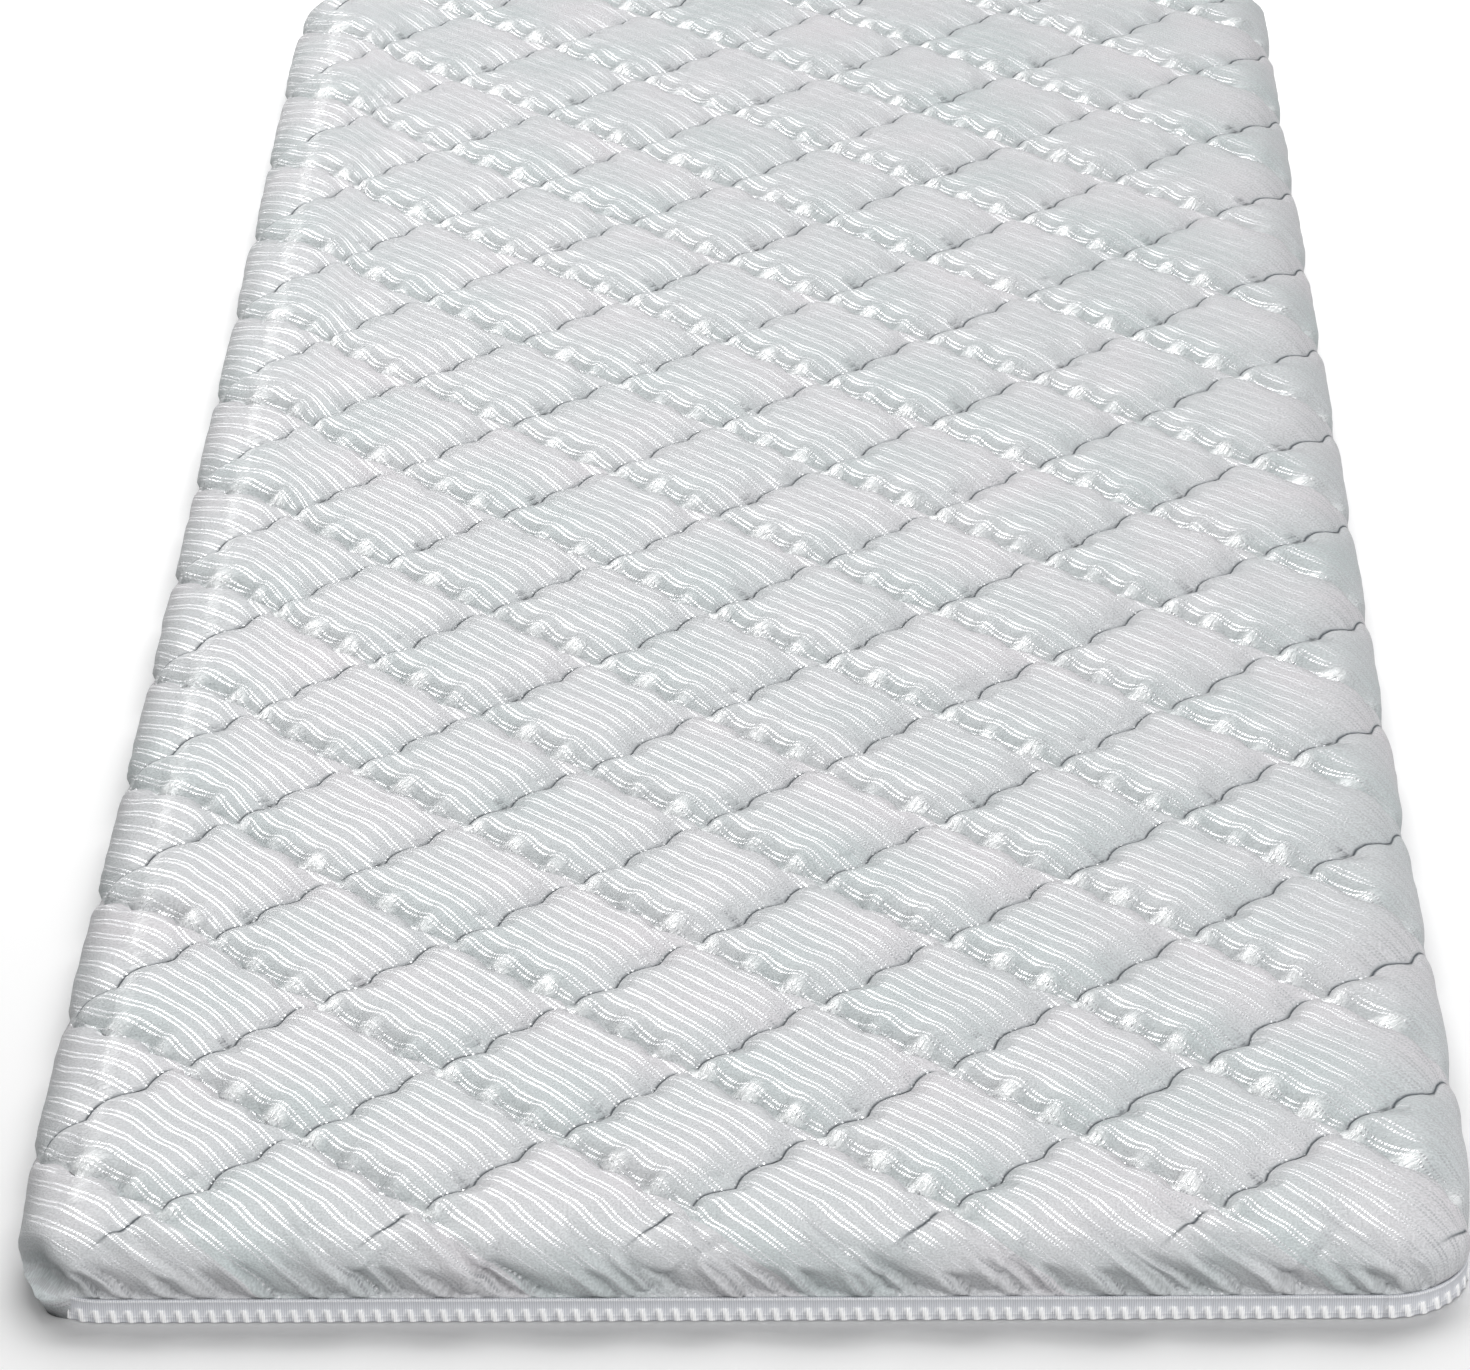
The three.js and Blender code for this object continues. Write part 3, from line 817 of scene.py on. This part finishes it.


# White knitted damask: satin stripes in pairs of dotted lines on a finely knitted ground. Gives
# bright dotted stripes that turn grey out of the light, and creases darkened by painted shade. Bunched
# cloth takes a painted highlight and shines, and painted shade darkens a hollow and dims its shine,
# for the little light that comes into it.
def makeDamask():
    material = bpy.data.materials.new("white knitted damask")
    material.use_nodes = True
    tree = material.node_tree
    tree.nodes.clear()
    cloth = addNode(tree, "ShaderNodeUVMap", uv_map="cloth").outputs[0]
    lattice = addNode(tree, "ShaderNodeUVMap", uv_map="lattice").outputs[0]
    bunchingAndHighlight = addNode(tree, "ShaderNodeAttribute", attribute_name="bunchingAndHighlight").outputs["Fac"]
    sewn = addNode(tree, "ShaderNodeAttribute", attribute_name="sewn").outputs["Fac"]
    paintedShade = addNode(tree, "ShaderNodeAttribute", attribute_name="paintedShade").outputs["Fac"]
    grain = addNode(tree, "ShaderNodeTexNoise", {
        "Vector": cloth, "Scale": damask["grainsPerMetre"], "Detail": 1.0,
    }).outputs[0]
    lines, dotted = satinStripes(tree, cloth)
    shadow, creaseShade = paintCreases(tree, lattice, sewn)

    # painted highlight: bunched cloth and the left shoulder turn towards the tuft's light colour
    leastBunched, mostBunched = damask["bunchedRange"]
    tuftHighlight = addNode(tree, "ShaderNodeMapRange", {
        "Value": bunchingAndHighlight, "From Min": leastBunched, "From Max": mostBunched, "To Max": damask["tuftMost"],
    }, interpolation_type="SMOOTHSTEP").outputs[0]
    ground = addNode(tree, "ShaderNodeMix", {
        "Factor": tuftHighlight, "A": knittedGround(tree, cloth, lattice, grain), "B": hexColour(damask["tuftHighlight"]),
    }, data_type="RGBA").outputs["Result"]
    striped = addNode(tree, "ShaderNodeMix", {
        "Factor": dotted, "A": ground, "B": hexColour(damask["stripe"]),
    }, data_type="RGBA").outputs["Result"]
    # painted shade: the colour darkens by the shade share, and a share below 0 lightens it as painted
    # light
    darkest = pad["shades"][1]
    light = addNode(tree, "ShaderNodeMapRange", {
        "Value": paintedShade, "From Max": darkest, "To Min": 1.0, "To Max": 1 - darkest * damask["hollowTone"],
    }, clamp=False).outputs[0]
    lit = addNode(tree, "ShaderNodeVectorMath", {0: striped, "Scale": light}, operation="SCALE").outputs[0]
    # painted shadow beside a crease, then painted shade in it
    shadowed = addNode(tree, "ShaderNodeMix", {
        "Factor": shadow, "A": lit, "B": hexColour(damask["shadow"]),
    }, data_type="RGBA").outputs["Result"]
    colour = addNode(tree, "ShaderNodeMix", {
        "Factor": creaseShade, "A": shadowed, "B": hexColour(damask["crease"]),
    }, data_type="RGBA").outputs["Result"]

    # the stripes and the bunched cloth shine, less so under a hollow's painted shade and not in a painted
    # crease
    satin = addNode(tree, "ShaderNodeMath", {
        0: tuftHighlight, 1: damask["tuftShine"], 2: dotted,
    }, operation="MULTIPLY_ADD", use_clamp=True).outputs[0]
    shining = addNode(tree, "ShaderNodeMapRange", {
        "Value": satin, "To Min": damask["groundShine"], "To Max": 1.0,
    }).outputs[0]
    inHollow = addNode(tree, "ShaderNodeMath", {0: shining, 1: light}, operation="MULTIPLY").outputs[0]
    offStitch = addNode(tree, "ShaderNodeMath", {0: 1.0, 1: creaseShade}, operation="SUBTRACT").outputs[0]
    shine = addNode(tree, "ShaderNodeMath", {0: inHollow, 1: offStitch}, operation="MULTIPLY").outputs[0]
    rough = addNode(tree, "ShaderNodeMapRange", {
        "Value": dotted, "To Min": damask["groundRoughness"], "To Max": damask["stripeRoughness"],
    }).outputs[0]
    surface = addNode(tree, "ShaderNodeBsdfPrincipled", {
        "Base Color": colour, "Roughness": rough, "IOR": damask["ior"], "Specular IOR Level": shine,
        "Normal": clothRelief(tree, lattice, grain, bunchingAndHighlight, lines, dotted),
    })
    addNode(tree, "ShaderNodeOutputMaterial", {"Surface": surface.outputs[0]})
    print("damask:", len(tree.nodes), "nodes")
    return material


# The woven tape round the bottom edge. Sizes in millimetres.
tape = {
    "bottom": 0.6,
    "height": 14.3,
    "inner": 3.2,             # its inner face, inside the outline
    "thickness": 1.8,
    "barPitch": 9.3,
    "barWidth": 0.42,         # share of the pitch
    "barSlope": 0.06,         # of the pitch, at each side of a bar
    "barTop": 8.4,
    "barTopSlope": 0.7,
    "barLean": 0.9,           # how far a bar's top leans to the left
    "barRise": 0.9,
    "lineHeight": 3.7,        # the raised line that links the bars
    "lineHalf": 0.5,
    "lineRise": 0.35,
    "lineWhite": 0.5,         # how white it is, next to a bar
    "weltHeights": (12.6, 13.1, 13.9, 14.3),    # where it begins, is in full and ends again
    "weltRise": 0.25,
    "weltWhite": 0.4,
    # grid lines, closer together where the relief changes: along a bar's pitch, in shares of it,
    # and up the outer face below its top edge
    "along": (0.0, 0.06, 0.2, 0.36, 0.42, 0.7),
    "up": (0, 0.5, 2.9, 3.3, 3.9, 4.3, 7.7, 8.1, 8.5, 12.6, 13.1, 13.7),
    "ribPitch": 1.3,
    "ribTone": 0.25,          # how much whiter and greyer the ribs make the tape
    "ribDepth": 0.4,
    "ribStrength": 0.5,
    "colour": "#c6c8ce",
    "raised": "#ffffff",
    "roughness": 0.75,
    "turnedRange": (0.04, 0.2),    # nearness to the turned corner where its painted shade starts and is full
    "turnedPaintedShade": 0.12,
}


# How far along a run of points each one is: the sum of the steps before it.
def runLength(x, y):
    return np.concatenate([[0], np.cumsum(np.hypot(np.diff(x), np.diff(y)))])


# The pad's outline drawn in by an inset: quarter circles joined by straight sides, then moved by
# the left side's run in. Gives its points and how far round each one is.
def tapeOutline(inset):
    arcPoints, finePoints = 31, 4001    # of each quarter circle, and of the whole outline
    starts = (-90, 0, 90, 180)
    angles = np.radians(np.concatenate([np.linspace(start, start + 90, arcPoints) for start in starts]))
    signX = np.repeat([1, 1, -1, -1], arcPoints)
    signY = np.repeat([-1, 1, 1, -1], arcPoints)
    radius = pad["corner"] - inset
    x = signX * innerWidth + radius * np.cos(angles)
    y = signY * innerLength + radius * np.sin(angles)
    x, y = np.append(x, x[0]), np.append(y, y[0])
    length = runLength(x, y)
    fine = np.linspace(0, length[-1], finePoints)
    x, y = np.interp(fine, length, x), np.interp(fine, length, y)
    x = x + runIn(x, y)
    return x, y, runLength(x, y)


# Places on an outline, at shares of the way round, with their outward directions: each is square
# to the line between the places on either side.
def placesOn(outline, shares):
    x, y, length = outline
    at = shares * length[-1]
    x, y = np.interp(at, length, x), np.interp(at, length, y)
    alongX, alongY = np.roll(x, -1) - np.roll(x, 1), np.roll(y, -1) - np.roll(y, 1)
    size = np.hypot(alongX, alongY)
    return x, y, alongY / size, -alongX / size


# How far the outer face stands out, in millimetres, and how white it is, at shares of the way round
# and heights up the tape: the bars are steps with soft sides that lean as they rise, the line that
# links them is a soft bump, and the welt along the top a low step.
def tapeRelief(place, bars, levels):
    slope, width, top = tape["barSlope"], tape["barWidth"], tape["barTop"]
    lean = tape["barLean"] * (levels / top - 0.5) / tape["barPitch"]
    phase = (place * bars)[:, None] + lean
    share = phase - np.floor(phase)
    side = smoothStep(share, 0, slope) * (1 - smoothStep(share, width - slope, width))
    bar = side * (1 - smoothStep(levels, top - tape["barTopSlope"], top))
    line = bump(levels, tape["lineHeight"], tape["lineHalf"]) * np.ones_like(bar)
    weltStart, weltFull, weltLast, weltEnd = tape["weltHeights"]
    welt = smoothStep(levels, weltStart, weltFull) * (1 - smoothStep(levels, weltLast, weltEnd))
    welt = welt * np.ones_like(bar)
    relief = tape["barRise"] * bar + tape["lineRise"] * line * (1 - bar) + tape["weltRise"] * welt
    white = np.maximum(bar, np.maximum(tape["lineWhite"] * line, tape["weltWhite"] * welt))
    return relief, white


# A closed band: its profile goes up the outer face, over and down the inner one, and is carried
# round the outline. At the front left corner it turns in under the cover.
def makeTape():
    outline = tapeOutline(tape["inner"] - tape["thickness"])
    around = outline[-1][-1]
    bars = int(round(around / tape["barPitch"]))
    place = (np.arange(bars)[:, None] + np.array(tape["along"])).ravel() / bars
    x, y, outX, outY = placesOn(outline, place)
    levels = np.array([*tape["up"], tape["height"]])
    relief, white = tapeRelief(place, bars, levels)

    back = -tape["thickness"] * np.ones((len(place), 2))
    out = np.concatenate([relief, back], 1)
    up = np.concatenate([levels, [tape["height"], 0]]) + tape["bottom"]
    up = np.broadcast_to(up, out.shape)
    nearTurned = nearness(x, y, pad["turned"]["z"], pad["turned"])
    turnedIn = nearTurned * pad["turned"]["depth"]
    x, y = x + turnedIn, y + turnedIn
    points = np.stack([x[:, None] + outX[:, None] * out, y[:, None] + outY[:, None] * out, up], -1)
    rows, columns = out.shape
    index = np.arange(rows * columns).reshape(rows, columns)
    index = np.concatenate([index, index[:1]])
    index = np.concatenate([index, index[:, :1]], 1)
    a, b, c, d = cellCorners(index)
    faces = np.stack([a, d, c, b], 1)
    flat = np.stack([np.broadcast_to(place[:, None] * around, out.shape), up], -1)
    shares = {
        "raised": np.concatenate([white, np.zeros_like(back)], 1),
        "turned": np.broadcast_to(nearTurned[:, None], out.shape),
    }
    uvs = {"band": flat.reshape(-1, 2) / 1000}
    piece = makeMesh("ribbed_tape", points.reshape(-1, 3) / 1000, faces, uvs, shares)
    print("tape:", 2 * len(faces), "triangles,", bars, "bars,", round(around), "mm round")
    return piece, around / 1000


# White polyester tape, woven with upright ribs and raised bars, matt. Gives a finely lined grey band
# with whiter bars, and painted shade where it turns in under the cover.
def makeTapeMaterial():
    material = bpy.data.materials.new("white ribbed tape")
    material.use_nodes = True
    tree = material.node_tree
    tree.nodes.clear()
    band = addNode(tree, "ShaderNodeUVMap", uv_map="band").outputs[0]
    raised = addNode(tree, "ShaderNodeAttribute", attribute_name="raised").outputs["Fac"]
    turned = addNode(tree, "ShaderNodeAttribute", attribute_name="turned").outputs["Fac"]
    ribs = addNode(tree, "ShaderNodeTexWave", {
        "Vector": band, "Scale": waveScale(tape["ribPitch"]), "Distortion": 0.3, "Detail": 1.0,
    }, wave_type="BANDS", bands_direction="X", wave_profile="SIN").outputs["Fac"]
    ribbed = addNode(tree, "ShaderNodeMapRange", {
        "Value": ribs, "To Min": -tape["ribTone"], "To Max": tape["ribTone"],
    }).outputs[0]
    white = addNode(tree, "ShaderNodeMath", {
        0: raised, 1: ribbed,
    }, operation="ADD", use_clamp=True).outputs[0]
    whitened = addNode(tree, "ShaderNodeMix", {
        "Factor": white, "A": hexColour(tape["colour"]), "B": hexColour(tape["raised"]),
    }, data_type="RGBA").outputs["Result"]
    # painted shade where the tape turns in under the cover
    outside, inside = tape["turnedRange"]
    light = addNode(tree, "ShaderNodeMapRange", {
        "Value": turned, "From Min": outside, "From Max": inside,
        "To Min": 1.0, "To Max": tape["turnedPaintedShade"],
    }, interpolation_type="SMOOTHSTEP").outputs[0]
    colour = addNode(tree, "ShaderNodeVectorMath", {
        0: whitened, "Scale": light,
    }, operation="SCALE").outputs[0]
    relief = addNode(tree, "ShaderNodeBump", {
        "Height": ribs, "Strength": tape["ribStrength"], "Distance": tape["ribDepth"] / 1000,
    }).outputs[0]
    surface = addNode(tree, "ShaderNodeBsdfPrincipled", {
        "Base Color": colour, "Roughness": tape["roughness"], "Normal": relief,
    })
    addNode(tree, "ShaderNodeOutputMaterial", {"Surface": surface.outputs[0]})
    print("tape material:", len(tree.nodes), "nodes")
    return material


cover = makeCover()
cover.data.materials.append(makeDamask())
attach(cover, "root")
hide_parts("quilted_pad")

ribbedTape, tapeLength = makeTape()
ribbedTape.data.materials.append(makeTapeMaterial())
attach(ribbedTape, "root")
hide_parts("edge_tape")

# A white studio: a pale floor with two lamps of its own, white all round, and soft boxes overhead,
# in front, on the right and on the left. The satin lamps are seen only as reflections: a long panel
# behind, one overhead, two in front for the border and one low on the left. Places and sizes in
# metres, power in watts.
studio = {
    "floorSize": 60.0,
    "floorColour": "#ffffff",
    "floorRoughness": 0.9,
    "worldStrength": 0.37,
    "lamps": {
        "overhead": {"place": (1.1, 1.9, 3.4), "size": (2.2, 1.8), "power": 61.0, "on": "mattress"},
        "floor": {"place": (0.6, 3.0, 3.4), "size": (4.8, 2.6), "power": 184.0, "on": "floor"},
        "wash": {"place": (0.1, 1.4, 3.6), "size": (3.2, 1.8), "power": 52.0, "on": "floor"},
        "key": {"place": (-0.8, -3.8, 2.1), "size": (1.4, 0.9), "power": 33.0, "on": "mattress"},
        "fill": {"place": (2.4, -2.8, 1.8), "size": (1.6, 1.2), "power": 60.0, "on": "mattress"},
        "edge": {"place": (-1.25, 0.5, 1.1), "size": (3.0, 0.4), "power": 4.5, "on": "mattress"},
        "satin": {"place": (-0.2, 5.0, 4.1), "size": (5.0, 1.5), "power": 80.0, "on": "satin"},
        "glint": {"place": (-0.9, 2.1, 3.9), "size": (2.6, 2.2), "power": 520.0, "on": "satin"},
        "sheen": {"place": (-0.7, -2.9, 2.8), "size": (3.6, 1.8), "power": 55.0, "on": "satin"},
        "front": {"place": (0.0, -4.6, 1.2), "size": (3.6, 1.8), "power": 60.0, "on": "satin"},
        "window": {"place": (-2.0, 1.6, 1.3), "size": (1.2, 0.8), "power": 11.0, "on": "mattress"},
        "rim": {"place": (-2.9, 4.1, 0.8), "size": (2.4, 1.2), "power": 65.0, "on": "satin"},
    },
}


# A lamp's matrix, at a place and shining at the middle of the mattress: its z axis points back
# from there, its x axis is level and its y axis is square to both.
def lampMatrix(place):
    place = np.array(place)
    back = place / np.linalg.norm(place)
    side = np.cross([0, 0, 1], back)
    side /= np.linalg.norm(side)
    turned = np.eye(4)
    turned[:3, :3] = np.stack([side, np.cross(back, side), back], 1)
    turned[:3, 3] = place
    return Matrix(turned.tolist())


# Smooth matt white card. Gives a plain white ground that shows the shadow alone.
def makeFloor():
    half = studio["floorSize"] / 2
    corners = [(-half, -half, 0), (half, -half, 0), (half, half, 0), (-half, half, 0)]
    mesh = bpy.data.meshes.new("floor")
    mesh.from_pydata(corners, [], [(0, 1, 2, 3)])
    floor = bpy.data.objects.new("floor", mesh)
    bpy.context.scene.collection.objects.link(floor)
    material = bpy.data.materials.new("matt white floor")
    material.use_nodes = True
    surface = material.node_tree.nodes["Principled BSDF"]
    surface.inputs["Base Color"].default_value = hexColour(studio["floorColour"])
    surface.inputs["Roughness"].default_value = studio["floorRoughness"]
    mesh.materials.append(material)
    floor.visible_diffuse = False    # it throws no light back under the mattress
    return floor


# Lamps for the mattress and the floor give no reflections, and the satin lamps nothing else.
def makeLamps(floor, pieces):
    litBy = {"floor": [floor], "mattress": pieces, "satin": pieces}
    for name, lamp in studio["lamps"].items():
        data = bpy.data.lights.new(name, "AREA")
        data.shape = "RECTANGLE"
        data.size, data.size_y = lamp["size"]
        data.energy = lamp["power"]
        light = bpy.data.objects.new(name, data)
        light.matrix_world = lampMatrix(lamp["place"])
        light.visible_glossy = lamp["on"] == "satin"
        light.visible_diffuse = lamp["on"] != "satin"
        bpy.context.scene.collection.objects.link(light)
        receivers = bpy.data.collections.new("lit by " + name)
        light.light_linking.receiver_collection = receivers
        for piece in litBy[lamp["on"]]:
            receivers.objects.link(piece)


def makeStudio(pieces):
    makeLamps(makeFloor(), pieces)
    world = bpy.data.worlds.new("white studio")
    bpy.context.scene.world = world
    world.use_nodes = True
    background = world.node_tree.nodes["Background"]
    background.inputs["Color"].default_value = (1, 1, 1, 1)
    background.inputs["Strength"].default_value = studio["worldStrength"]
    bpy.context.scene.view_settings.view_transform = "Standard"
    print("studio:", len(studio["lamps"]), "lamps")


makeStudio([cover, ribbedTape])
